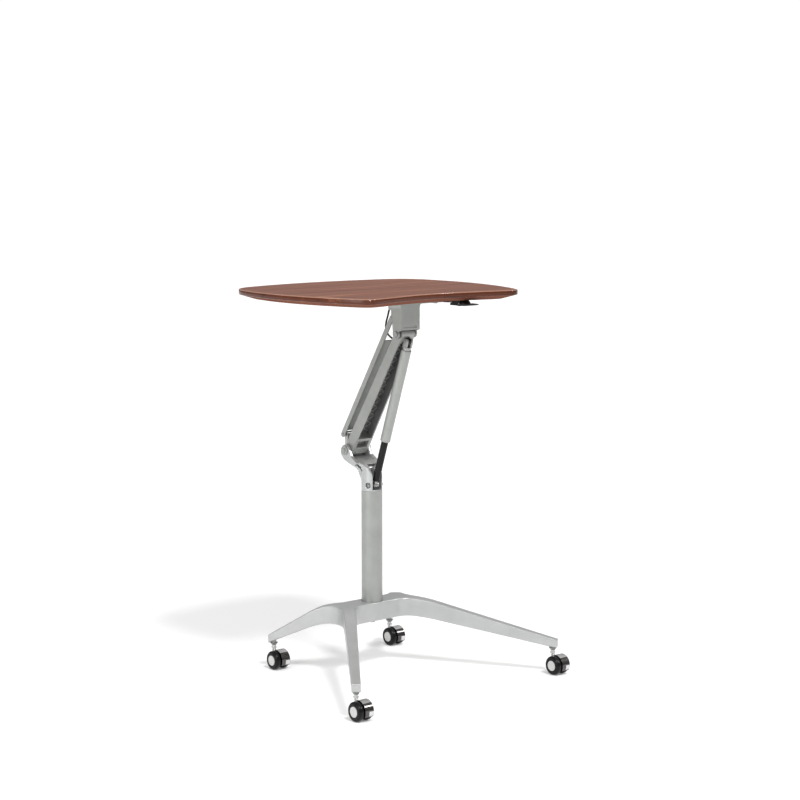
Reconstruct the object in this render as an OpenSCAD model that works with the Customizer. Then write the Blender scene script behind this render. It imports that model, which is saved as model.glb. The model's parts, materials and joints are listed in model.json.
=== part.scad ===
// Mobile laptop desk on casters, raised and lowered by a parallel arm with a gas spring.
// +Z is up, the user stands on the -Y side, and the floor is z = 0.

/* [Worktop] */
// Height of the worktop's top face above the floor, arm raised
top_height = 1040; // [1036:1:1044]
// Thickness of the worktop
top_thick = 25; // [22:1:28]
// Height of the upright band round the worktop's edge
edge_band = 13; // [10:1:15]
// How far the chamfer under the edge runs in
chamfer_in = 34; // [20:1:38]
// Half of the worktop's width between its rear corners
rear_half = 300; // [280:5:320]
// Half of the worktop's width between its front corners
front_half = 254; // [235:1:260]
// Depth of the hollow in the front edge
front_hollow = 78; // [40:1:90]

/* [Lift arm] */
// Distance between the arm's two pivots
arm_len = 390; // [380:1:400]
// Angle of the raised arm above the horizontal
arm_angle = 58; // [57:0.5:59]
// Depth of the arm's flanges
arm_depth = 31; // [28:1:32]
// Half of the arm's width at its lower end
arm_half_low = 28; // [26:0.5:28]
// Half of the arm's width at its upper end
arm_half_high = 22; // [21:0.5:23]
// Thickness of the arm's flanges and web
arm_wall = 4; // [3:0.5:5]
// Number of X shaped ribs inside the arm
rib_count = 11; // [6:1:12]

/* [Gas spring] */
// Diameter of the black cylinder
cyl_d = 19; // [17:0.5:20]
// Outer diameter of the silver cover tube
cover_d = 27; // [25:0.5:28]
// Diameter of the piston rod
rod_d = 8; // [6:1:10]

/* [Column and base] */
// Diameter of the column
column_d = 57; // [50:0.5:58]
// Height of the column's top above the floor
column_top = 492; // [490:1:494]
// Height of the base's top above the floor
base_top = 188; // [180:1:192]
// Depth of the base at the column
base_depth = 50; // [44:1:54]
// Depth of a leg at its end
leg_end_depth = 22; // [18:1:26]

/* [Casters] */
// Diameter of the twin wheels
wheel_d = 51; // [48:1:52]
// Width of one wheel
wheel_w = 17; // [15:0.5:18]
// How far the wheel's axle trails the swivel stem
trail = 18; // [15:1:20]

/* [Hidden] */
$fn = 48;
eps = 0.01;

// Where the column's axis stands, so that the whole desk is centred on the origin
column_y = 69.2;
// Running clearance round a pin, on the radius
run = 0.05;
// Gap between faces that slide past each other
gap = 0.5;

// Pivots as [y, z], measured from the column's axis and the floor
pivot_a = [68, 596];
link_offset = [25, 40];
arm_dir = [-cos(arm_angle), sin(arm_angle)];
pivot_b = pivot_a + arm_len * arm_dir;
pivot_c = pivot_a + link_offset;
pivot_d = pivot_b + link_offset;
spring_low = [-13, 508];
spring_high = pivot_b + [-14, -19];
spring_vec = spring_high - spring_low;
spring_len = norm(spring_vec);
spring_turn = atan2(spring_vec[1], spring_vec[0]);
arm_turn = 180 - arm_angle;

// Radii of the pins
pin_a_r = 6;
pin_b_r = 5;
pin_c_r = 4;
// Faces of the yoke's ears and the bracket's cheeks, as half widths
ear_in = 29;
ear_out = 39;
cheek_in = 27;
cheek_out = 32;
link_out = 26;
link_in = 23;
link_depth = 15;
// Spring: where the cover starts and the cylinder ends along its axis
cover_from = 133;
cover_to = spring_len - 25;
cyl_to = 210;

top_under = top_height - top_thick;
plate_thick = 6;
plate_z = top_under - plate_thick;

stem_front = [341, -355];
stem_rear = [205, 173];
leg_over = 13;
leg_end_top = 92;
leg_end_low = leg_end_top - leg_end_depth;
base_low = base_top - base_depth;
hub = [84, -4];
hub_arc = 70;
hub_width = 38;
web_round = 45;
end_width = 24;
socket_r = 6.5;
stem_r = 4;

wheel_r = wheel_d / 2;
wheel_gap = 6;
hood_in = wheel_r + 0.4;
hood_out = wheel_r + 1.3;
axle_r = 3;

silver = "silver";
black = [0.08, 0.08, 0.08];
walnut = [0.55, 0.3, 0.22];

// ---- shared shapes ----

// Everything above the floor is drawn from the column's axis, then moved into the frame
module placed() translate([0, column_y, 0]) children();

// Draws a [y, z] outline as a plate across X, width w
module across(w) rotate([90, 0, 90]) linear_extrude(w, center = true) children();

// A round bar across X from x0 to x1 at [y, z]
module xbar(p, r, x0, x1) translate([x0, p[0], p[1]]) rotate([0, 90, 0]) cylinder(r = r, h = x1 - x0);

// The same plate on both sides, between half widths a and b
module pair(a, b) for (m = [0, 1]) mirror([m, 0, 0]) translate([(a + b) / 2, 0, 0]) across(b - a) children();

// Closed solid through rings of points, all with the same count, anticlockwise about the way they run
module loft(rings) {
    n = len(rings[0]);
    m = len(rings);
    polyhedron(
        points = [for (r = rings) each r],
        faces = concat(
            [[for (i = [0:n - 1]) i]],
            [for (k = [0:m - 2]) for (i = [0:n - 1])
                [k * n + i, (k + 1) * n + i, (k + 1) * n + (i + 1) % n, k * n + (i + 1) % n]],
            [[for (i = [n - 1:-1:0]) (m - 1) * n + i]]),
        convexity = 6);
}

function unit(v) = v / norm(v);
function mix(a, b, t) = a + (b - a) * t;
function quad(a, b, c, t) = mix(mix(a, b, t), mix(b, c, t), t);

// ---- worktop ----

// Corners of the worktop, front right first, then anticlockwise seen from above
rear_y = 214;
front_y = -332;
side_bow = 52;
rear_bow = 48;
front_bow = 10;
hollow_reach = 236;
corner_rear = 62;
corner_front = 26;

// One edge of the worktop from the front's middle round to the rear's middle, right side
function front_edge(x) = [x, front_y - front_bow * (1 - pow(x / front_half, 2))
    + front_hollow * exp(-pow(x / hollow_reach, 2))];
function bowed(a, b, bow, t) = let (d = unit(b - a)) mix(a, b, t) + [d[1], -d[0]] * 4 * bow * t * (1 - t);
corner_fr = front_edge(front_half);
corner_rr = [rear_half, rear_y];
corner_rl = [-rear_half, rear_y];
side_len = norm(corner_rr - corner_fr);
front_cut = corner_front / front_half;
side_cut_f = corner_front / side_len;
side_cut_r = corner_rear / side_len;
rear_cut = corner_rear / (2 * rear_half);
half_edge = concat(
    [for (i = [0:11]) front_edge(front_half * (1 - front_cut) * i / 11)],
    [for (i = [1:7]) quad(front_edge(front_half * (1 - front_cut)), corner_fr,
        bowed(corner_fr, corner_rr, side_bow, side_cut_f), i / 8)],
    [for (i = [0:12]) bowed(corner_fr, corner_rr, side_bow, mix(side_cut_f, 1 - side_cut_r, i / 12))],
    [for (i = [1:9]) quad(bowed(corner_fr, corner_rr, side_bow, 1 - side_cut_r), corner_rr,
        bowed(corner_rr, corner_rl, rear_bow, rear_cut), i / 10)],
    [for (i = [0:12]) bowed(corner_rr, corner_rl, rear_bow, mix(rear_cut, 0.5, i / 12))]);
half_count = len(half_edge);
edge = concat(half_edge, [for (i = [half_count - 2:-1:1]) [-half_edge[i][0], half_edge[i][1]]]);
half_w = 327;
half_d = 281;
centre_y = -18;
function edge_ring(d, z) = [for (p = edge)
    [p[0] * (1 - d / half_w), centre_y + (p[1] - centre_y) * (1 - d / half_d), z]];

module worktop() color(walnut) placed() difference() {
    loft([edge_ring(chamfer_in, top_under), edge_ring(0, top_height - edge_band),
        edge_ring(0, top_height - 2), edge_ring(2, top_height)]);
    for (p = screw_spots) translate([p[0], p[1], top_under - eps]) cylinder(r = 2.5, h = 12);
}

// ---- bracket under the worktop ----

bracket_front = -161;
bracket_low = 938;
bracket_back = -125;
plate_half = 82;
plate_front = -196;
plate_back = -66;
screw_spots = [for (x = [-1, 1]) for (y = [plate_front + 14, plate_back - 14]) [x * (plate_half - 14), y]];
tongue_half = 19;

module cheek_side() {
    polygon([[bracket_front, plate_z + 1], [bracket_front, bracket_low], [pivot_b[0] - 11, bracket_low - 4],
        [pivot_b[0] + 11, pivot_b[1]], [bracket_back, bracket_low + 14], [bracket_back, plate_z - 24],
        [bracket_back + 3, plate_z - 16], [bracket_back + 14, plate_z - 5], [bracket_back + 18, plate_z + 1]]);
    translate(pivot_b) circle(r = 12);
}

module top_bracket() color(silver) placed() difference() {
    union() {
        translate([0, (plate_front + plate_back) / 2, plate_z]) linear_extrude(plate_thick)
            square([2 * plate_half, plate_back - plate_front], center = true);
        pair(cheek_in, cheek_out) cheek_side();
        translate([-cheek_out, bracket_front, bracket_low]) cube([2 * cheek_out, 6, plate_z - bracket_low + 1]);
        translate([-cheek_out, bracket_front, plate_z - 20]) cube([2 * cheek_out, 52, 21]);
        across(2 * tongue_half) {
            polygon([[pivot_d[0] - 9, plate_z], [pivot_d[0] - 9, pivot_d[1]],
                [pivot_d[0] + 9, pivot_d[1]], [pivot_d[0] + 9, plate_z]]);
            translate(pivot_d) circle(r = 9);
        }
        for (m = [0, 1]) mirror([m, 0, 0]) translate([cheek_out - 1, bracket_front, plate_z - 14])
            difference() {
                cube([15, 48, 15]);
                translate([15, -1, 0]) rotate([-90, 0, 0]) cylinder(r = 14, h = 50);
            }
    }
    xbar(pivot_b, pin_b_r, -cheek_out - 1, cheek_out + 1);
    xbar(pivot_d, pin_c_r, -tongue_half - 1, tongue_half + 1);
    translate([-21, bracket_front - 1, 944]) cube([42, 2.5, 7]);
    for (p = screw_spots) translate([p[0], p[1], plate_z - 1]) cylinder(r = 3, h = plate_thick + 2);
}

module bracket_screws() color("dimgray") placed() for (p = screw_spots) translate([p[0], p[1], 0]) {
    translate([0, 0, plate_z - 3]) cylinder(r = 5.5, h = 3);
    translate([0, 0, plate_z]) cylinder(r = 2.5, h = plate_thick + 11);
}

// ---- release lever ----

lever_x = 118;
lever_axis = [-238, 1006];
housing_back = -204;
housing_front = -232;
screw_y = -214;
housing_low = 1001;

module lever_housing() color(black) placed() difference() {
    union() {
        translate([lever_x - 18, housing_front, housing_low])
            cube([36, housing_back - housing_front, top_under - housing_low]);
        for (s = [-1, 1]) translate([lever_x + s * 15 - 3, lever_axis[0], housing_low])
            cube([6, 10, top_under - housing_low]);
        for (s = [-1, 1]) xbar(lever_axis, 6, lever_x + s * 15 - 3, lever_x + s * 15 + 3);
        for (s = [-1, 1]) translate([lever_x + s * 24, screw_y, top_under - 4]) cylinder(r = 8, h = 4);
    }
    xbar(lever_axis, 2, lever_x - 20, lever_x + 20);
    for (s = [-1, 1]) translate([lever_x + s * 24, screw_y, top_under - 5]) cylinder(r = 2.2, h = 6);
    translate([lever_x, housing_back + 1, 1008]) rotate([90, 0, 0]) cylinder(r = 2.6, h = 9);
}

module housing_screws() color("dimgray") placed() for (s = [-1, 1])
    translate([lever_x + s * 24, screw_y, top_under - 6.5]) {
        cylinder(r = 4, h = 2.5);
        cylinder(r = 2.1, h = 6.5);
    }

module lever_pin() color("dimgray") placed() xbar(lever_axis, 2, lever_x - 18, lever_x + 18);

module release_lever() color([0.2, 0.2, 0.2]) placed() difference() {
    union() {
        xbar(lever_axis, 5, lever_x - 11.5, lever_x + 11.5);
        translate([lever_x, 0, 0]) across(23)
            polygon([[-238, 1011], [-238, 1001.5], [-256, 1001.5], [-256, 1006.5]]);
        translate([lever_x, 0, 0]) across(40)
            polygon([[-250, 1006.5], [-250, 1001.5], [-266, 1002], [-275, 1004], [-275, 1005.5], [-264, 1006.5]]);
    }
    xbar(lever_axis, 2 + run, lever_x - 30, lever_x + 30);
}

// ---- release cable ----

cable_r = 2.5;
// Under the worktop, from the lever's housing to the bracket
cable_route = [[118, -212, 1008], [118, -190, 1008], [117, -158, 1007], [113, -120, 1007], [104, -92, 1007],
    [88, -68, 1007], [66, -53, 1007], [44, -49, 1006], [26, -54, 1003], [14, -62, 999], [6, -69, 994],
    [2, -72, 987]];
// The free loop behind the bracket, between the link's tines, into the arm
loop_route = [[1.4, -72.4, 986], [0, -72, 980], [0, -67, 966], [0, -61, 950], [0, -60, 936], [0, -65, 924],
    [0, -76, 915.5], [0, -90, 909], [0, -103, 904.5], [0, -116, 899], [0, -130, 894]];
function ring_at(route, i, r, up) =
    let (last = len(route) - 1,
        t = unit(route[min(i + 1, last)] - route[max(i - 1, 0)]),
        side = unit(cross(t, up)),
        top = cross(t, side))
    [for (k = [0:7]) route[i] + r * (cos(45 * k) * side + sin(45 * k) * top)];
module tube_along(route, up) loft([for (i = [0:len(route) - 1]) ring_at(route, i, cable_r, up)]);

module release_cable() color(black) placed() tube_along(cable_route, [0, 0, 1]);
module cable_loop() color(black) placed() tube_along(loop_route, [1, 0, 0]);

// Clips as x, y and the cable's heading
clip_spots = [[113, -120, 102], [66, -53, 158]];
module cable_clips() color(black) placed() for (p = clip_spots)
    translate([p[0], p[1], 0]) rotate([0, 0, p[2]]) difference() {
        translate([-5, -7, 1001]) cube([10, 14, top_under - 1001]);
        translate([0, 0, 1007]) rotate([0, 90, 0]) cylinder(r = cable_r + 1.7, h = 20, center = true);
    }

// ---- arm ----

// Arm and link are drawn along +Y from their lower pivot, with +Z towards the user's side
module along(p) translate([0, p[0], p[1]]) rotate([arm_turn, 0, 0]) children();
head_r = 14.5;
channel_from = 48;
channel_to = arm_len - 32;
function arm_half(s) = mix(arm_half_low, arm_half_high, s / arm_len);
rib_pitch = (channel_to - channel_from - 12) / rib_count;

module arm_plan(from, to, less) polygon([[-arm_half(from) + less, from], [arm_half(from) - less, from],
    [arm_half(to) - less, to], [-arm_half(to) + less, to]]);

module arm_side() {
    circle(d = arm_depth);
    translate([arm_len, 0]) circle(r = head_r);
    polygon([[0, -arm_depth / 2], [arm_len, -head_r], [arm_len, head_r], [0, arm_depth / 2]]);
}

// Two crossed ribs on the inside of the web, centred at s along the arm
module arm_cross(s) {
    reach = arm_half(s) - arm_wall / 2;
    for (m = [-1, 1]) translate([0, s]) rotate(m * atan2(rib_pitch / 2, reach))
        square([2 * norm([reach - 1, rib_pitch / 2]), 2.4], center = true);
}

module main_arm() color(silver) placed() along(pivot_a) difference() {
    union() {
        difference() {
            intersection() {
                across(80) arm_side();
                translate([0, 0, -30]) linear_extrude(60) arm_plan(-20, arm_len + 20, 0);
            }
            translate([0, 0, -arm_depth / 2 + arm_wall]) linear_extrude(60) {
                arm_plan(channel_from, channel_to, arm_wall);
                translate([0, channel_to]) circle(r = arm_half(channel_to) - arm_wall);
            }
            translate([0, 0, 1]) linear_extrude(60) arm_plan(18, 40, 9);
        }
        translate([0, 0, -arm_depth / 2 + 2]) linear_extrude(arm_wall + 2)
            for (i = [0:rib_count - 1]) arm_cross(channel_from + 6 + (i + 0.5) * rib_pitch);
    }
    rotate([0, 90, 0]) cylinder(r = pin_a_r + run, h = 90, center = true);
    translate([0, arm_len, 0]) rotate([0, 90, 0]) cylinder(r = pin_b_r + run, h = 90, center = true);
    translate([0, arm_len - 37, -20]) cylinder(r = 6, h = 16);
}

// Lug under the arm's head that carries the gas spring's clevis
lug_half = 4;
module spring_lug() color(black) placed() difference() {
    union() {
        xbar(spring_high, 8.5, -lug_half, lug_half);
        along(pivot_b) translate([-lug_half, -17.2, head_r - 2]) cube([2 * lug_half, 15.5, 9]);
    }
    along(pivot_b) translate([-9, -40, -20]) cube([18, 60, 20 + head_r + 0.06]);
    xbar(spring_high, pin_c_r + run, -9, 9);
}

module upper_arm_pin() color("dimgray") placed() {
    xbar(pivot_b, pin_b_r, -cheek_out, cheek_out);
    for (m = [0, 1]) mirror([m, 0, 0]) xbar(pivot_b, 8.5, cheek_out, cheek_out + 2.5);
}

module lower_arm_pin() color("dimgray") placed() xbar(pivot_a, pin_a_r, -ear_out, ear_out);

module arm_bushes() color(black) placed() for (m = [0, 1]) mirror([m, 0, 0]) difference() {
    xbar(pivot_a, 11, arm_half_low + 0.35, ear_in);
    xbar(pivot_a, pin_a_r, 0, ear_out);
}

module pivot_caps() color(silver) placed() for (m = [0, 1]) mirror([m, 0, 0]) {
    xbar(pivot_a, 13, ear_out, ear_out + 3);
    xbar(pivot_a, 6, ear_out + 3, ear_out + 5);
}

// ---- rear link ----

link_web_from = 9;
link_web_to = 312;
module link_side() {
    circle(d = link_depth);
    translate([arm_len, 0]) circle(d = link_depth);
    translate([0, -link_depth / 2]) square([arm_len, link_depth]);
}

module rear_link() color(silver) placed() along(pivot_c) difference() {
    union() {
        pair(link_in, link_out) link_side();
        translate([-link_in - 1, link_web_from, -link_depth / 2]) cube([2 * link_in + 2, link_web_to - link_web_from, 3]);
    }
    for (s = [0, arm_len]) translate([0, s, 0]) rotate([0, 90, 0]) cylinder(r = pin_c_r + run, h = 60, center = true);
}

module upper_link_pin() color("dimgray") placed() xbar(pivot_d, pin_c_r, -link_out - 1, link_out + 1);

module lower_link_pin() color("dimgray") placed() xbar(pivot_c, pin_c_r, -link_out - 1, link_out + 1);

// ---- gas spring ----

// Drawn along +Y from the lower eye
module on_spring() translate([0, spring_low[0], spring_low[1]]) rotate([spring_turn, 0, 0]) children();
module rod_along(r, a, b) translate([0, a, 0]) rotate([-90, 0, 0]) cylinder(r = r, h = b - a);

eye_half = 8;
pocket_half = 15.5;
module spring_eye() color("dimgray") placed() {
    xbar(spring_low, 8, -eye_half, eye_half);
    xbar(spring_low, 4, -pocket_half + gap, pocket_half - gap);
    on_spring() rod_along(6, 0, 14);
}

module spring_cylinder() color(black) placed() on_spring() difference() {
    rod_along(cyl_d / 2, 14, cyl_to);
    rod_along(rod_d / 2 + run, 60, cyl_to + 1);
}

module spring_rod() color("silver") placed() on_spring() rod_along(rod_d / 2, cyl_to - 25, cover_to - 4);

module spring_cover() color(silver) placed() on_spring() difference() {
    rod_along(cover_d / 2, cover_from, cover_to);
    rod_along(cover_d / 2 - 2.5, cover_from - 1, cover_to - 4);
}

tine_r = 7;
module spring_clevis() color(silver) placed() on_spring() difference() {
    union() {
        rod_along(11, cover_to, spring_len - 15);
        for (s = [-1, 1]) translate([s * 7.75, 0, 0]) {
            translate([0, spring_len, 0]) rotate([0, 90, 0]) cylinder(r = tine_r, h = 6, center = true);
            translate([-3, spring_len - 18, -tine_r]) cube([6, 18, 2 * tine_r]);
        }
    }
    translate([0, spring_len, 0]) rotate([0, 90, 0]) cylinder(r = pin_c_r, h = 40, center = true);
}

module spring_upper_pin() color("dimgray") placed() xbar(spring_high, pin_c_r, -12.5, 12.5);

module spring_bolt_heads() color("dimgray") placed() for (m = [0, 1]) mirror([m, 0, 0])
    xbar(spring_low, 5, 20, 24);

// ---- yoke on the column ----

saddle_top = 574;
module yoke_side() {
    polygon([[-28.5, column_top], [-27, column_top + 23], [-22, column_top + 48], [-13, 555], [0, 564],
        [18, 569], [40, saddle_top], [pivot_a[0] + 14, saddle_top + 6], [pivot_a[0] + 4, 570], [50, 562],
        [32, 554], [26, 546], [28.5, column_top + 38], [28.5, column_top]]);
}

module yoke_ear() {
    translate(pivot_a) circle(r = 16);
    polygon([[14, 566], [30, 556], [50, 562], [pivot_a[0] + 4, 570], [pivot_a[0] + 14, 582],
        [pivot_a[0] + 15.5, 592], [pivot_a[0] - 13, 605], [42, 582]]);
}

pocket_low = column_top + 3;
bridge = [92, 586];
lug_r = 8;
lug_x = 15;
module yoke() color(silver) placed() difference() {
    union() {
        intersection() {
            across(2 * ear_out) yoke_side();
            rotate([90, 0, 0]) linear_extrude(300, center = true)
                polygon([[-column_d / 2, column_top], [column_d / 2, column_top], [column_d / 2, 528],
                    [33, 548], [ear_out, 566], [ear_out, 620], [-ear_out, 620], [-ear_out, 566], [-33, 548],
                    [-column_d / 2, 528]]);
            union() {
                linear_extrude(700) circle(d = column_d, $fn = 96);
                for (i = [0:7]) translate([0, 0, 516 + 6 * i]) linear_extrude(200)
                    polygon([[-column_d / 2 + 3 * (7 - i), 2], [column_d / 2 - 3 * (7 - i), 2],
                        [ear_out - 3 * (7 - i), 40], [ear_out, 110], [-ear_out, 110], [-ear_out + 3 * (7 - i), 40]]);
            }
        }
        pair(ear_in, ear_out) yoke_ear();
        across(2 * ear_in + 2) polygon([[78, 572], [bridge[0] - 5, 591], [bridge[0] + 7, 590],
            [bridge[0] + 4, 580], [82, 568]]);
        across(2 * lug_x) {
            translate(pivot_c) circle(r = lug_r);
            polygon([[bridge[0] - 5.5, 584], [bridge[0] + 7, 582], [pivot_c[0] + 6, pivot_c[1] - 5],
                [pivot_c[0] - 6.5, pivot_c[1] - 4.5]]);
        }
        translate([0, 0, column_top - 30]) cylinder(r = column_d / 2 - 3 - run, h = 31);
    }
    // pocket for the spring's lower end, open to the front
    across(2 * pocket_half) polygon([[-40, pocket_low], [13, pocket_low], [13, 552], [6, 560], [-2, 567],
        [-40, 567]]);
    // room for the arm between the ears
    xbar(pivot_a, 17, -ear_in, ear_in);
    // window in the neck behind the spring
    translate([-22, 18, 540]) cube([44, 60, 12]);
    // slots in the cheeks
    across(100) polygon([[6, 548], [12, 543], [26, 561], [19, 564]]);
    xbar(pivot_a, pin_a_r, -ear_out - 1, ear_out + 1);
    xbar(pivot_c, pin_c_r, -lug_x - 1, lug_x + 1);
    for (m = [0, 1]) mirror([m, 0, 0]) xbar(spring_low, 7.5, 20, 40);
    translate([0, 0, column_top - 15]) rotate([-90, 0, 0]) cylinder(r = 3, h = 60, center = true);
}

// ---- column and base ----

module column() color(silver) placed() difference() {
    translate([0, 0, base_low + 4]) cylinder(d = column_d, h = column_top - base_low - 4, $fn = 96);
    translate([0, 0, base_low + 30]) cylinder(d = column_d - 6, h = column_top, $fn = 96);
    translate([0, 0, base_low]) cylinder(r = 5, h = 60);
    translate([0, 0, column_top - 15]) rotate([-90, 0, 0]) cylinder(r = 3, h = 40);
}

module yoke_screws() color("dimgray") placed() translate([0, column_d / 2 - 12, column_top - 15])
    rotate([-90, 0, 0]) union() {
        cylinder(r = 3, h = 13);
        translate([0, 0, 12.1]) cylinder(r = 5, h = 2);
    }

module column_bolt() color("dimgray") placed() {
    translate([0, 0, base_low - 3]) cylinder(r = 17, h = 3);
    translate([0, 0, base_low - 10]) cylinder(r = 8.5, h = 7, $fn = 6);
    translate([0, 0, base_low]) cylinder(r = 5, h = 34);
}

// Path of the right pair of legs seen from above, rear foot to front foot
foot_rear = stem_rear + leg_over * unit(stem_rear - hub);
foot_front = stem_front + leg_over * unit(stem_front - hub);
arc_rear = hub + hub_arc * unit(foot_rear - hub);
arc_front = hub + hub_arc * unit(foot_front - hub);
function leg_path() = concat(
    [for (i = [0:5]) mix(foot_rear, arc_rear, i / 6)],
    [for (i = [0:10]) quad(arc_rear, hub, arc_front, i / 10)],
    [for (i = [1:8]) mix(arc_front, foot_front, i / 8)]);
// Edge of the right pair of legs, side = 1 outside and -1 inside
function leg_edge(path, side) = [for (i = [0:len(path) - 1])
    let (p = path[i], last = len(path) - 1,
        d = unit(path[min(i + 1, last)] - path[max(i - 1, 0)]),
        reach = p[1] > hub[1] ? norm(foot_rear - hub) : norm(foot_front - hub),
        w = mix(hub_width, end_width, pow(min(1, norm(p - hub) / reach), 0.6)) / 2)
    p + side * w * [-d[1], d[0]]];
module leg_plan() let (path = leg_path(), a = leg_edge(path, 1), b = leg_edge(path, -1), n = len(path))
    polygon(concat(a, [for (i = [n - 1:-1:0]) b[i]]));

module base_plan() offset(r = -web_round, $fn = 96) offset(delta = web_round) {
    leg_plan();
    mirror([1, 0]) leg_plan();
    square([2 * hub[0] + 20, 68], center = true);
}

// How far a leg has begun to fall at r from the hub, for a straight fall of 1 in 1
function ease(r) = r < 30 ? 0 : r < 110 ? pow(r - 30, 2) / 160 : r - 70;
ease_steps = [0, 30, 46, 62, 78, 94, 110];
module fall(reach) {
    rs = concat(ease_steps, [reach + 30]);
    n = len(rs);
    top_fall = (base_top - leg_end_top) / ease(reach);
    low_fall = (base_low - leg_end_low) / ease(reach);
    polygon(concat([for (i = [0:n - 1]) [rs[i], base_top - top_fall * ease(rs[i])]],
        [for (i = [n - 1:-1:0]) [rs[i], base_low - low_fall * ease(rs[i])]]));
}

// One quarter turn of the falling legs about a hub, and the same fall carried across the crossbar
module quarter(reach) {
    for (m = [-1, 1]) translate([m * hub[0], 0, 0]) rotate([0, 0, m < 0 ? 90 : 0])
        rotate_extrude(angle = 90) fall(reach);
    rotate([90, 0, 90]) linear_extrude(2 * hub[0] + 0.02, center = true) fall(reach);
}

module at_stems() for (s = [stem_front, stem_rear]) for (m = [-1, 1]) translate([m * s[0], s[1], 0]) children();

module base() color(silver) placed() difference() {
    intersection() {
        linear_extrude(base_top + 1) base_plan();
        translate([0, hub[1], 0]) union() {
            quarter(norm(foot_rear - hub));
            mirror([0, 1, 0]) quarter(norm(foot_front - hub));
        }
    }
    translate([0, 0, base_low + 4]) cylinder(d = column_d, h = 90, $fn = 96);
    translate([0, 0, base_low - 1]) cylinder(r = 5, h = 20);
    at_stems() translate([0, 0, leg_end_low - 10]) cylinder(r = socket_r, h = 29.5);
}

module caster_sockets() color("silver") placed() at_stems() difference() {
    union() {
        translate([0, 0, leg_end_low - 6]) cylinder(r = socket_r, h = 25);
        translate([0, 0, leg_end_low - 6]) cylinder(r1 = 7, r2 = 11, h = 6);
    }
    translate([0, 0, leg_end_low - 7]) cylinder(r = stem_r + run, h = 27);
}

// ---- casters, drawn with the stem on the Z axis and the wheels trailing to the front ----

axle_y = -trail;
function wheel_at(side) = side * (wheel_gap + wheel_w / 2);
hood_side = wheel_gap + wheel_w - 1.5;
block_half = wheel_gap - 0.8;
axle_pos = [axle_y, wheel_r];
hood_low = wheel_r - 13;

module caster_body() color([0.25, 0.25, 0.27]) difference() {
    union() {
        translate([0, 0, 44]) cylinder(r = stem_r, h = leg_end_top - 4 - 44);
        translate([0, 0, 44]) cylinder(r = 5.5, h = leg_end_low - 6.5 - 44);
        translate([0, 0, 55]) cylinder(r = 7, h = 3);
        xbar(axle_pos, 16, -block_half, block_half);
        difference() {
            xbar(axle_pos, hood_out, -block_half, hood_side);
            xbar(axle_pos, hood_in, block_half, hood_side + 1);
            xbar(axle_pos, 8, -block_half - 1, block_half + 1);
            translate([-50, axle_y, -60]) cube([100, 60, 62 + wheel_r]);
            translate([-50, axle_y - 60, -60]) cube([100, 61, 60 + hood_low]);
        }
    }
    xbar(axle_pos, axle_r, -40, 40);
}

module axle() color("dimgray") xbar(axle_pos, axle_r, -wheel_gap - wheel_w + 2, wheel_gap + wheel_w - 2);

module wheel(side) color(black) translate([wheel_at(side), axle_y, wheel_r]) rotate([0, side * 90, 0])
    difference() {
        rotate_extrude($fn = 96) polygon([[0, -wheel_w / 2], [wheel_r - 3, -wheel_w / 2], [wheel_r, -wheel_w / 2 + 3],
            [wheel_r, wheel_w / 2 - 3], [wheel_r - 3, wheel_w / 2], [14, wheel_w / 2], [13.5, wheel_w / 2 - 0.6],
            [0, wheel_w / 2 - 0.6]]);
        translate([0, 0, -wheel_w / 2 - 1]) cylinder(r = axle_r + run, h = wheel_w - 0.5);
    }

// Blank plate low on the hood's front
module plate() color("lightgray") difference() {
    xbar(axle_pos, hood_out + 0.5, wheel_gap + 1, hood_side - 0.8);
    xbar(axle_pos, hood_out, wheel_gap, hood_side);
    translate([0, axle_y, -60]) cube([60, 60, 200]);
    translate([0, axle_y - 60, wheel_r + 1.5]) cube([60, 61, 60]);
    translate([0, axle_y - 60, wheel_r - 71]) cube([60, 61, 60]);
}

module caster_at(x, y) placed() translate([x, y, 0]) children();
module at_fl() caster_at(-stem_front[0], stem_front[1]) children();
module at_fr() caster_at(stem_front[0], stem_front[1]) children();
module at_rl() caster_at(-stem_rear[0], stem_rear[1]) children();
module at_rr() caster_at(stem_rear[0], stem_rear[1]) children();

module caster_fl() at_fl() caster_body();
module caster_fr() at_fr() caster_body();
module caster_rl() at_rl() caster_body();
module caster_rr() at_rr() caster_body();
module axle_fl() at_fl() axle();
module axle_fr() at_fr() axle();
module axle_rl() at_rl() axle();
module axle_rr() at_rr() axle();
module wheel_fl_left() at_fl() wheel(-1);
module wheel_fl_right() at_fl() wheel(1);
module wheel_fr_left() at_fr() wheel(-1);
module wheel_fr_right() at_fr() wheel(1);
module wheel_rl_left() at_rl() wheel(-1);
module wheel_rl_right() at_rl() wheel(1);
module wheel_rr_left() at_rr() wheel(-1);
module wheel_rr_right() at_rr() wheel(1);
module plate_fl() at_fl() plate();
module plate_fr() at_fr() plate();
module plate_rl() at_rl() plate();
module plate_rr() at_rr() plate();

worktop();
top_bracket();
bracket_screws();
lever_housing();
housing_screws();
release_lever();
lever_pin();
release_cable();
cable_loop();
cable_clips();
main_arm();
spring_lug();
rear_link();
upper_arm_pin();
upper_link_pin();
lower_arm_pin();
lower_link_pin();
arm_bushes();
pivot_caps();
spring_clevis();
spring_cover();
spring_rod();
spring_upper_pin();
spring_cylinder();
spring_eye();
spring_bolt_heads();
yoke();
yoke_screws();
column();
column_bolt();
base();
caster_sockets();
caster_fl();
caster_fr();
caster_rl();
caster_rr();
axle_fl();
axle_fr();
axle_rl();
axle_rr();
wheel_fl_left();
wheel_fl_right();
wheel_fr_left();
wheel_fr_right();
wheel_rl_left();
wheel_rl_right();
wheel_rr_left();
wheel_rr_right();
plate_fl();
plate_fr();
plate_rl();
plate_rr();
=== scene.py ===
import json
import math

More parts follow.
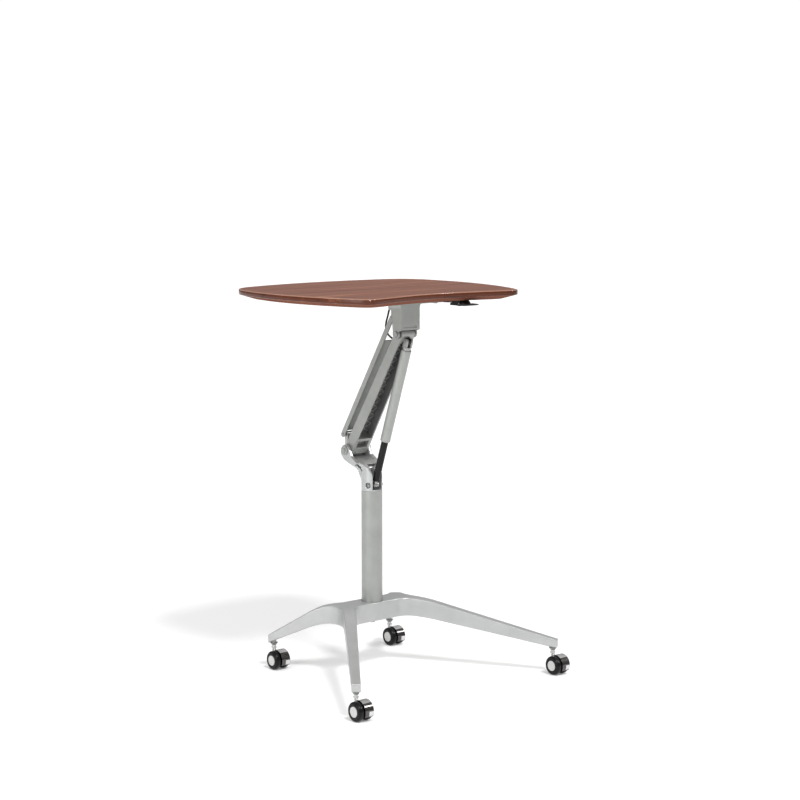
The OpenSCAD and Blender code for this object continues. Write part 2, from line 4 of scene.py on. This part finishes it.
import bpy
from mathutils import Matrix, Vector


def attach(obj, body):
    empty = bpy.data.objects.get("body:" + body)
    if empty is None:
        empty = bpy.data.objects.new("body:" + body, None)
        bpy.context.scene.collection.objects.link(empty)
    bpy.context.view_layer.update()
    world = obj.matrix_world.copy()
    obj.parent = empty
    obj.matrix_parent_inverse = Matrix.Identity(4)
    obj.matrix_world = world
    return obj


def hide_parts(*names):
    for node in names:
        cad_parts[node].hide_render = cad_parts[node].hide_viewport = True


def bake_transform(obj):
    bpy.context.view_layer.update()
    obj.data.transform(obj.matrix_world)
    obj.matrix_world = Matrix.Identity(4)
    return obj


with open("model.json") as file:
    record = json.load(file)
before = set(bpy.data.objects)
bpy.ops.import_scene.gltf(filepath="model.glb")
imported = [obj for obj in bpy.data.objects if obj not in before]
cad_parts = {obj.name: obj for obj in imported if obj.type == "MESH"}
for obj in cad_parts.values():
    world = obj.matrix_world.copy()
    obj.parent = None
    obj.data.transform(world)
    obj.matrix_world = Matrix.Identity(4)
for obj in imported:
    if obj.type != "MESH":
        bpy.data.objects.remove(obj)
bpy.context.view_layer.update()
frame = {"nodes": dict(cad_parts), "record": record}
nodes = frame["nodes"]
scene = bpy.context.scene

# Metres throughout. The column's axis stands at x = 0, this far behind the middle of the footprint.
COLUMN_Y = 0.0692
# Where the casters' stems stand, from the column's axis
STEMS = {"fl": (-0.341, -0.355), "fr": (0.341, -0.355), "rl": (-0.205, 0.173), "rr": (0.205, 0.173)}


# ---- materials ----

def new_material(name):
    m = bpy.data.materials.new(name)
    m.use_nodes = True
    t = m.node_tree
    t.nodes.clear()
    out = t.nodes.new("ShaderNodeOutputMaterial")
    s = t.nodes.new("ShaderNodeBsdfPrincipled")
    t.links.new(s.outputs[0], out.inputs[0])
    return m, t, s


def mapped(t, vector, scale):
    p = t.nodes.new("ShaderNodeMapping")
    p.inputs["Scale"].default_value = scale
    t.links.new(vector, p.inputs[0])
    return p.outputs[0]


def coords(t, scale=(1, 1, 1)):
    return mapped(t, t.nodes.new("ShaderNodeTexCoord").outputs["Object"], scale)


def noise(t, where, scale, detail=4, rough=0.5):
    n = t.nodes.new("ShaderNodeTexNoise")
    n.inputs["Scale"].default_value = scale
    n.inputs["Detail"].default_value = detail
    n.inputs["Roughness"].default_value = rough
    t.links.new(where, n.inputs["Vector"])
    return n.outputs["Fac"]


def ramp(t, fac, stops):
    r = t.nodes.new("ShaderNodeValToRGB")
    while len(r.color_ramp.elements) < len(stops):
        r.color_ramp.elements.new(0.5)
    for e, (p, c) in zip(r.color_ramp.elements, stops):
        e.position = p
        e.color = (*c, 1)
    t.links.new(fac, r.inputs[0])
    return r.outputs[0]


def grey(v):
    return (v, v, v)


def bump(t, s, height, strength, distance, edge=0.0):
    """Relief from a height; edge is the radius by which sharp edges are softened in the shading."""
    b = t.nodes.new("ShaderNodeBump")
    b.inputs["Strength"].default_value = strength
    b.inputs["Distance"].default_value = distance
    t.links.new(height, b.inputs["Height"])
    if edge:
        e = t.nodes.new("ShaderNodeBevel")
        e.samples = 4
        e.inputs["Radius"].default_value = edge
        t.links.new(e.outputs[0], b.inputs["Normal"])
    t.links.new(b.outputs[0], s.inputs["Normal"])


def coat(name, low, high, rough, metallic=0.0, edge=0.0008, grain=900, strength=0.15, specular=0.5):
    """A painted or moulded finish: faint mottling, varied gloss and a fine grain."""
    m, t, s = new_material(name)
    where = coords(t)
    broad = noise(t, where, 14, 5, 0.6)
    t.links.new(ramp(t, broad, [(0.3, low), (0.7, high)]), s.inputs["Base Color"])
    fine = noise(t, where, grain, 2, 0.5)
    patch = noise(t, where, 60, 4, 0.6)
    t.links.new(ramp(t, patch, [(0.3, grey(rough[0])), (0.7, grey(rough[1]))]), s.inputs["Roughness"])
    s.inputs["Metallic"].default_value = metallic
    s.inputs["Specular IOR Level"].default_value = specular
    bump(t, s, fine, strength, 0.00015, edge)
    return m


def brushed(name, low, high):
    """Bare metal with fine drawn lines."""
    rough = (0.22, 0.4)
    m, t, s = new_material(name)
    lines = noise(t, coords(t, (3, 3, 60)), 30, 5, 0.6)
    t.links.new(ramp(t, lines, [(0.3, low), (0.7, high)]), s.inputs["Base Color"])
    t.links.new(ramp(t, lines, [(0.3, grey(rough[0])), (0.7, grey(rough[1]))]), s.inputs["Roughness"])
    s.inputs["Metallic"].default_value = 1.0
    bump(t, s, lines, 0.12, 0.0001, 0.0005)
    return m


def wood(name, dark, mid, light, rough, cross=1.0, specular=0.22):
    """Straight reddish grain along X, in broad bands with fine streaks."""
    m, t, s = new_material(name)
    warp = noise(t, coords(t, (0.9, 2.5, 2.5)), 3, 3, 0.5)
    shift = t.nodes.new("ShaderNodeVectorMath")
    shift.operation = "MULTIPLY_ADD"
    shift.inputs[1].default_value = (0.0, 0.06, 0.0)
    t.links.new(warp, shift.inputs[0])
    t.links.new(coords(t), shift.inputs[2])
    bands = noise(t, mapped(t, shift.outputs[0], (1.1, 26 * cross, 26)), 1.0, 6, 0.62)
    fine = noise(t, mapped(t, shift.outputs[0], (6, 260 * cross, 260)), 1.0, 4, 0.6)
    both = t.nodes.new("ShaderNodeMix")
    both.data_type = "FLOAT"
    both.inputs[0].default_value = 0.33
    t.links.new(bands, both.inputs[2])
    t.links.new(fine, both.inputs[3])
    colour = ramp(t, both.outputs[0], [(0.34, dark), (0.46, mid), (0.54, mid), (0.64, light)])
    t.links.new(colour, s.inputs["Base Color"])
    t.links.new(ramp(t, fine, [(0.35, grey(rough[1])), (0.65, grey(rough[0]))]), s.inputs["Roughness"])
    s.inputs["Specular IOR Level"].default_value = specular
    bump(t, s, fine, 0.08, 0.0002)
    return m


# Coats: darker and lighter colour, then the range of roughness
SILVER = coat("silver_paint", (0.31, 0.32, 0.305), (0.36, 0.37, 0.355), (0.34, 0.46),
              metallic=0.55, grain=1400)
CAST = coat("silver_cast", (0.44, 0.45, 0.445), (0.50, 0.51, 0.505), (0.30, 0.40),
            metallic=0.6, grain=1400, edge=0.002)
# Painted shade: a darker paint for the shaded floor and inner walls of the arm's channel
CHANNEL_PAINTED_SHADE = coat("arm_painted_shade", (0.15, 0.151, 0.15), (0.20, 0.201, 0.20), (0.5, 0.65),
             metallic=0.4, grain=1400)
BLACK_PAINT = coat("black_paint", grey(0.006), grey(0.012), (0.35, 0.5), specular=0.2)
BLACK_PLASTIC = coat("black_plastic", grey(0.012), grey(0.022), (0.45, 0.6), specular=0.25)
GREY_PLASTIC = coat("grey_plastic", (0.02, 0.02, 0.022), (0.035, 0.035, 0.037), (0.4, 0.55))
RUBBER = coat("wheel_rubber", grey(0.003), grey(0.006), (0.16, 0.24), specular=0.2)
DISC = coat("hub_disc", (0.55, 0.55, 0.54), (0.62, 0.62, 0.61), (0.35, 0.45), metallic=0.2)
TAB = coat("tab_plastic", grey(0.6), grey(0.68), (0.4, 0.5))
CHROME = coat("dark_chrome", (0.085, 0.08, 0.08), (0.13, 0.12, 0.12), (0.08, 0.13),
              metallic=1.0, strength=0.03)
BRIGHT = brushed("bright_steel", grey(0.5), (0.62, 0.62, 0.61))
STEEL = brushed("dark_steel", grey(0.28), (0.38, 0.38, 0.37))

# Woods: dark, middle and light grain, then the range of roughness
WALNUT = wood("walnut_top", (0.055, 0.013, 0.006), (0.20, 0.062, 0.030), (0.40, 0.16, 0.085),
              (0.34, 0.48))
WALNUT_EDGE = wood("walnut_edge", (0.025, 0.005, 0.002), (0.085, 0.021, 0.008), (0.18, 0.055, 0.022),
                   (0.16, 0.28), cross=0.5, specular=0.3)
# Painted highlight: a lighter, glossier walnut on the thin arris at the top of the edge, standing in for
# the bright line that light draws along it
WALNUT_PAINTED_HIGHLIGHT = wood("walnut_painted_highlight", (0.22, 0.09, 0.055), (0.32, 0.15, 0.095), (0.42, 0.22, 0.15),
                   (0.12, 0.2), cross=0.5, specular=1.0)
WALNUT_UNDER = wood("walnut_under", (0.10, 0.036, 0.024), (0.19, 0.08, 0.055), (0.29, 0.14, 0.10),
                    (0.6, 0.7), cross=0.5, specular=0.0)

BY_SLOT = {
    "silver_paint": SILVER, "walnut_top": WALNUT, "black_plastic": BLACK_PLASTIC,
    "grey_plastic": GREY_PLASTIC, "black_paint": BLACK_PAINT, "bright_steel": BRIGHT,
    "dark_steel": STEEL, "dark_chrome": CHROME, "tab_plastic": TAB, "wheel_rubber": RUBBER,
}
NECK_Z = 0.047


def dress_nodes():
    """Each node gets its slot's material; above NECK_Z a caster's body is its bright stem."""
    for part in frame["record"]["subparts"]:
        o = nodes[part["node"]]
        o.data.materials.clear()
        o.data.materials.append(BY_SLOT[part["material_slot"]])
    nodes["caster_sockets"].data.materials[0] = SILVER
    for corner in STEMS:
        o = nodes["caster_" + corner]
        o.data.materials.append(BRIGHT)
        for p in o.data.polygons:
            p.material_index = 1 if (o.matrix_world @ p.center).z > NECK_Z else 0


dress_nodes()


# ---- mesh helpers ----

def add(name, data):
    o = bpy.data.objects.new(name, data)
    scene.collection.objects.link(o)
    return o


def mesh_object(name, verts, faces, materials, picks=None, smooth=40):
    """A smooth-shaded mesh: picks gives each face its material, and smooth is the sharp edges' angle."""
    me = bpy.data.meshes.new(name)
    me.from_pydata([tuple(v) for v in verts], [], faces)
    for m in materials:
        me.materials.append(m)
    if picks:
        for p, k in zip(me.polygons, picks):
            p.material_index = k
    for p in me.polygons:
        p.use_smooth = True
    me.set_sharp_from_angle(angle=math.radians(smooth))
    return add(name, me)


def ring_faces(rings, n):
    """Quads between consecutive rings of n points."""
    out = []
    for k in range(rings - 1):
        for i in range(n):
            j = (i + 1) % n
            out.append((k * n + i, k * n + j, (k + 1) * n + j, (k + 1) * n + i))
    return out


def close_ends(faces, picks, rings, n):
    """Fans over the first and last rings, to the two vertices that follow the rings."""
    last, middle = (rings - 1) * n, rings * n
    ends = picks[0], picks[-1]
    for i in range(n):
        j = (i + 1) % n
        faces.append((middle, j, i))
        faces.append((middle + 1, last + i, last + j))
        picks.extend(ends)


def hand_in(piece, body, node):
    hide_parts(node)
    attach(piece, body)


# ---- worktop ----

TOP_Z = 1.040
UNDER_Z = 1.015
BAND_Z = 1.027          # where the edge's upright band meets the chamfer
FRONT_Y = -0.332        # the front corners
FRONT_HALF = 0.254
FRONT_BOW = 0.010       # the front edge's swell between the corners
HOLLOW_DEPTH = 0.078    # the hollow where the user stands
HOLLOW_REACH = 0.236
REAR_Y = 0.214
REAR_HALF = 0.300
SIDE_BOW = 0.052
REAR_BOW = 0.048
CORNER_FRONT = 0.026
CORNER_REAR = 0.062
MIDDLE_Y = -0.018       # the point that the edge shrinks towards
INSET_X = 0.327
INSET_Y = 0.281


def quad(a, b, c, t):
    return a.lerp(b, t).lerp(b.lerp(c, t), t)


def front_edge(x):
    swell = FRONT_BOW * (1 - (x / FRONT_HALF) ** 2)
    return Vector((x, FRONT_Y - swell + HOLLOW_DEPTH * math.exp(-(x / HOLLOW_REACH) ** 2)))


def bowed(a, b, bow, t):
    d = (b - a).normalized()
    return a.lerp(b, t) + Vector((d.y, -d.x)) * 4 * bow * t * (1 - t)


def outline():
    """The right half from the front's middle to the rear's middle, then its mirror image."""
    front, rear, far = front_edge(FRONT_HALF), Vector((REAR_HALF, REAR_Y)), Vector((-REAR_HALF, REAR_Y))
    side = (rear - front).length
    turn = FRONT_HALF - CORNER_FRONT
    start, stop = CORNER_FRONT / side, 1 - CORNER_REAR / side
    bend = CORNER_REAR / (2 * REAR_HALF)

    def along_side(t):
        return bowed(front, rear, SIDE_BOW, t)

    def along_rear(t):
        return bowed(rear, far, REAR_BOW, t)

    half = [front_edge(turn * i / 32) for i in range(32)]
    half += [quad(front_edge(turn), front, along_side(start), i / 20) for i in range(20)]
    half += [along_side(start + (stop - start) * i / 40) for i in range(40)]
    half += [quad(along_side(stop), rear, along_rear(bend), i / 26) for i in range(26)]
    half += [along_rear(bend + (0.5 - bend) * i / 40) for i in range(41)]
    return half + [Vector((-p.x, p.y)) for p in half[-2:0:-1]]


def build_worktop():
    """Rings shrinking from the outline: the underside, chamfer, band, an arris with a painted highlight,
    and top.
    """
    materials = [WALNUT, WALNUT_EDGE, WALNUT_UNDER, WALNUT_PAINTED_HIGHLIGHT]
    top, edge, under, painted_arris = range(len(materials))
    points = outline()
    # Each ring's inset and height, and the material of the faces that lead up to it
    rings = [(0.20, UNDER_Z, under), (0.10, UNDER_Z, under), (0.036, UNDER_Z, under),
             (0.0335, UNDER_Z + 0.0003, under), (0.0015, BAND_Z - 0.0010, under),
             (0.0004, BAND_Z - 0.0003, edge), (0.0, BAND_Z + 0.0008, edge), (0.0, TOP_Z - 0.0022, edge),
             # The arris: these three rings carry the painted highlight
             (0.0005, TOP_Z - 0.0011, painted_arris), (0.0013, TOP_Z - 0.0004, painted_arris), (0.0024, TOP_Z, painted_arris),
             (0.006, TOP_Z, top), (0.06, TOP_Z, top), (0.15, TOP_Z, top), (0.22, TOP_Z, top)]

    def ring(d, z):
        return [Vector((p.x * (1 - d / INSET_X),
                        MIDDLE_Y + (p.y - MIDDLE_Y) * (1 - d / INSET_Y) + COLUMN_Y, z)) for p in points]

    verts = [p for d, z, _ in rings for p in ring(d, z)]
    verts += [Vector((0, MIDDLE_Y + COLUMN_Y, z)) for z in (UNDER_Z, TOP_Z)]
    faces = ring_faces(len(rings), len(points))
    picks = [pick for _, _, pick in rings[1:] for _ in points]
    close_ends(faces, picks, len(rings), len(points))
    return mesh_object("worktop_detail", verts, faces, materials, picks, 28)


hand_in(build_worktop(), "top", "worktop")


# ---- casters ----

WHEEL_R = 0.0255
WHEEL_X = 0.0145        # a wheel's middle from the stem's axis
TRAIL = 0.018           # the axle behind the stem's axis
W = 0.0085              # half a wheel's width
# Distance out along X and radius, from the inner face to the hub's disc
WHEEL = [(-W, 0.0120), (-W, 0.0205), (-W + 0.0004, 0.0222), (-W + 0.0014, 0.0238), (-W + 0.0030, 0.0249),
         (-W + 0.0048, 0.0254), (0, WHEEL_R), (W - 0.0058, 0.0254), (W - 0.0040, 0.0249),
         (W - 0.0022, 0.0238), (W - 0.0010, 0.0222), (W - 0.0005, 0.0208), (W - 0.0009, 0.0202),
         (W - 0.0009, 0.0196), (W - 0.0004, 0.0190), (W - 0.0002, 0.0160), (W - 0.0003, 0.0146),
         (W - 0.0012, 0.0142), (W - 0.0012, 0.0139), (W - 0.0002, 0.0136), (W, 0.0125), (W, 0.0030)]
DISC_BANDS = 3          # the last bands of the profile are the disc


def turned(name, centre, sign, profile, materials, bands, steps=72):
    """A solid turned about X; sign is the side that its outer face looks to."""
    verts = []
    for out, r in profile:
        for i in range(steps):
            a = 2 * math.pi * i / steps
            verts.append(centre + Vector((sign * out, r * math.cos(a), r * math.sin(a))))
    verts += [centre + Vector((sign * out, 0, 0)) for out in (profile[0][0], profile[-1][0])]
    faces = ring_faces(len(profile), steps)
    picks = [pick for pick in bands for _ in range(steps)]
    close_ends(faces, picks, len(profile), steps)
    if sign < 0:
        faces = [tuple(reversed(f)) for f in faces]
    return mesh_object(name, verts, faces, materials, picks, 35)


def build_wheels():
    bands = [0] * (len(WHEEL) - 1 - DISC_BANDS) + [1] * DISC_BANDS
    for key, (x, y) in STEMS.items():
        for side, sign in (("left", -1), ("right", 1)):
            name = "wheel_%s_%s" % (key, side)
            centre = Vector((x + sign * WHEEL_X, y - TRAIL + COLUMN_Y, WHEEL_R))
            wheel = turned(name + "_detail", centre, sign, WHEEL, [RUBBER, DISC], bands)
            hand_in(wheel, name, name)


build_wheels()


# ---- castings ----

def rounded_copy(node, voxel, passes):
    """The node's shape with its edges rolled over and its inner corners filled, as a casting has them."""
    o = add(node + "_cast", nodes[node].data.copy())
    weld = o.modifiers.new("weld", "WELD")
    weld.merge_threshold = 0.00001
    remesh = o.modifiers.new("remesh", "REMESH")
    remesh.mode = "VOXEL"
    remesh.voxel_size = voxel
    remesh.use_smooth_shade = True
    smooth = o.modifiers.new("smooth", "SMOOTH")
    smooth.factor = 0.5
    smooth.iterations = passes
    graph = bpy.context.evaluated_depsgraph_get()
    made = bpy.data.meshes.new_from_object(o.evaluated_get(graph), depsgraph=graph)
    o.modifiers.clear()
    o.data = made
    made.name = node + "_cast"
    for p in made.polygons:
        p.use_smooth = True
    made.materials.clear()
    made.materials.append(CAST)
    return o


hand_in(rounded_copy("base", 0.0020, 4), "base", "base")
hand_in(rounded_copy("yoke", 0.0009, 5), "base", "yoke")


# ---- the arm's channel ----

ARM_PIVOT = Vector((0, 0.068 + COLUMN_Y, 0.596))
ARM_ANGLE = math.radians(58)
ARM_ALONG = Vector((0, -math.cos(ARM_ANGLE), math.sin(ARM_ANGLE)))
ARM_OUT = Vector((0, -math.sin(ARM_ANGLE), -math.cos(ARM_ANGLE)))
CHANNEL = (0.045, 0.380)    # its ends along the arm
CHANNEL_HALF = 0.0245
CHANNEL_FLOOR = -0.0115


def paint_channel_shade():
    """Painted shade: the channel's floor and inner walls take a darker copy of the arm's paint, for the
    shade inside the channel; the arm's outside and its ribs keep the plain paint.
    """
    arm = nodes["main_arm"].data
    arm.materials.append(CHANNEL_PAINTED_SHADE)
    for p in arm.polygons:
        d = p.center - ARM_PIVOT
        inside = CHANNEL[0] < d.dot(ARM_ALONG) < CHANNEL[1] and abs(d.x) < CHANNEL_HALF
        floor_face = p.normal.dot(ARM_OUT) > 0.9 and abs(d.dot(ARM_OUT) - CHANNEL_FLOOR) < 0.0008
        wall_face = abs(p.normal.x) > 0.9 and d.x * p.normal.x < 0
        if inside and (floor_face or wall_face):
            # These faces get the painted shade
            p.material_index = 1


paint_channel_shade()


# ---- release cable ----

CABLE_R = 0.0025


def spline(points, each):
    """A smooth curve through the points, with each steps between neighbours."""
    out = []
    p = [Vector(q) for q in points]
    p = [p[0] * 2 - p[1]] + p + [p[-1] * 2 - p[-2]]
    for k in range(1, len(p) - 2):
        for i in range(each):
            t = i / each
            a, b, c, d = p[k - 1], p[k], p[k + 1], p[k + 2]
            out.append(0.5 * (2 * b + (c - a) * t + (2 * a - 5 * b + 4 * c - d) * t * t
                              + (3 * b - a - 3 * c + d) * t * t * t))
    return out + [p[-2]]


def tube(name, points, up, sides=14):
    """A cable of radius CABLE_R along the points; up is a direction that the route never takes."""
    verts, n = [], len(points)
    for k, p in enumerate(points):
        t = (points[min(k + 1, n - 1)] - points[max(k - 1, 0)]).normalized()
        a = t.cross(Vector(up)).normalized()
        b = t.cross(a)
        for i in range(sides):
            g = 2 * math.pi * i / sides
            verts.append(p + CABLE_R * (math.cos(g) * a + math.sin(g) * b))
    faces = ring_faces(n, sides)
    faces.append(tuple(reversed(range(sides))))
    faces.append(tuple(range((n - 1) * sides, n * sides)))
    return mesh_object(name, verts, faces, [BLACK_PLASTIC], None, 50)


def route(points):
    """Points given in millimetres from the column's axis."""
    return [(x / 1000, y / 1000 + COLUMN_Y, z / 1000) for x, y, z in points]


# Under the worktop, from the lever's housing to the bracket
FIXED = route([(118, -212, 1008), (118, -190, 1008), (117, -158, 1007), (113, -120, 1007),
               (104, -92, 1007), (88, -68, 1007), (66, -53, 1007), (44, -49, 1006), (26, -54, 1003),
               (14, -62, 999), (6, -69, 994), (2, -72, 987)])
# The free loop behind the bracket, into the arm
LOOP = route([(1.4, -72.4, 986), (0, -72, 980), (0, -67, 966), (0, -61, 950), (0, -60, 936),
              (0, -65, 924), (0, -76, 915.5), (0, -90, 909), (0, -103, 904.5), (0, -116, 899),
              (0, -130, 894)])
cable = tube("release_cable_detail", spline(FIXED, 5), (0, 0, 1))
hand_in(cable, "top", "release_cable")
loop = tube("cable_loop_detail", spline(LOOP, 6), (1, 0, 0))
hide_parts("cable_loop")
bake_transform(loop)


# ---- stage, light and camera ----

def build_world():
    """A soft sky for light and reflections, seen by the camera as plain white."""
    scene.world = bpy.data.worlds.new("studio")
    scene.world.use_nodes = True
    t = scene.world.node_tree
    sky = t.nodes["Background"]
    split = t.nodes.new("ShaderNodeSeparateXYZ")
    t.links.new(t.nodes.new("ShaderNodeTexCoord").outputs["Generated"], split.inputs[0])
    heights = [(0.0, grey(0.34)), (0.25, grey(0.5)), (0.8, grey(0.95))]
    t.links.new(ramp(t, split.outputs["Z"], heights), sky.inputs["Color"])
    sky.inputs["Strength"].default_value = 0.8
    plain = t.nodes.new("ShaderNodeBackground")
    plain.inputs["Color"].default_value = (1, 1, 1, 1)
    plain.inputs["Strength"].default_value = 1.05
    pick = t.nodes.new("ShaderNodeMixShader")
    t.links.new(t.nodes.new("ShaderNodeLightPath").outputs["Is Camera Ray"], pick.inputs[0])
    t.links.new(sky.outputs[0], pick.inputs[1])
    t.links.new(plain.outputs[0], pick.inputs[2])
    t.links.new(pick.outputs[0], t.nodes["World Output"].inputs[0])


def build_floor(half=30):
    me = bpy.data.meshes.new("floor")
    corners = [(-half, -half, 0), (half, -half, 0), (half, half, 0), (-half, half, 0)]
    me.from_pydata(corners, [], [(0, 1, 2, 3)])
    material, _, s = new_material("floor_white")
    s.inputs["Base Color"].default_value = (0.88, 0.88, 0.88, 1)
    s.inputs["Emission Color"].default_value = (1, 1, 1, 1)
    s.inputs["Emission Strength"].default_value = 0.13
    s.inputs["Roughness"].default_value = 0.9
    s.inputs["Specular IOR Level"].default_value = 0.1
    me.materials.append(material)
    add("floor", me)


def aim(o, direction):
    o.rotation_euler = Vector(direction).to_track_quat("-Z", "Y").to_euler()


def sun(name, towards, energy):
    d = bpy.data.lights.new(name, "SUN")
    d.energy = energy
    d.angle = math.radians(11)
    aim(add(name, d), towards)


def fill(name, place, target, size, power):
    d = bpy.data.lights.new(name, "AREA")
    d.shape = "DISK"
    d.size = size
    d.energy = power
    o = add(name, d)
    o.location = place
    aim(o, Vector(target) - Vector(place))


def build_camera():
    cam = bpy.data.cameras.new("camera")
    cam.sensor_width = 36
    cam.lens = 89.68
    view = add("camera", cam)
    view.location = (-3.3531, -4.1209 + COLUMN_Y, 1.4339)
    view.rotation_euler = (math.pi / 2 - 0.13037, 0, -0.69735)
    scene.camera = view
    scene.view_settings.view_transform = "Standard"


build_world()
build_floor()
sun("front_light", (0.10, 0.68, -1.0), 1.6)
sun("right_light", (-0.95, 0.90, -1.0), 0.6)
fill("left_fill", (-3.2, -0.6, 1.5), (0, 0, 0.6), 2.2, 40)
build_camera()
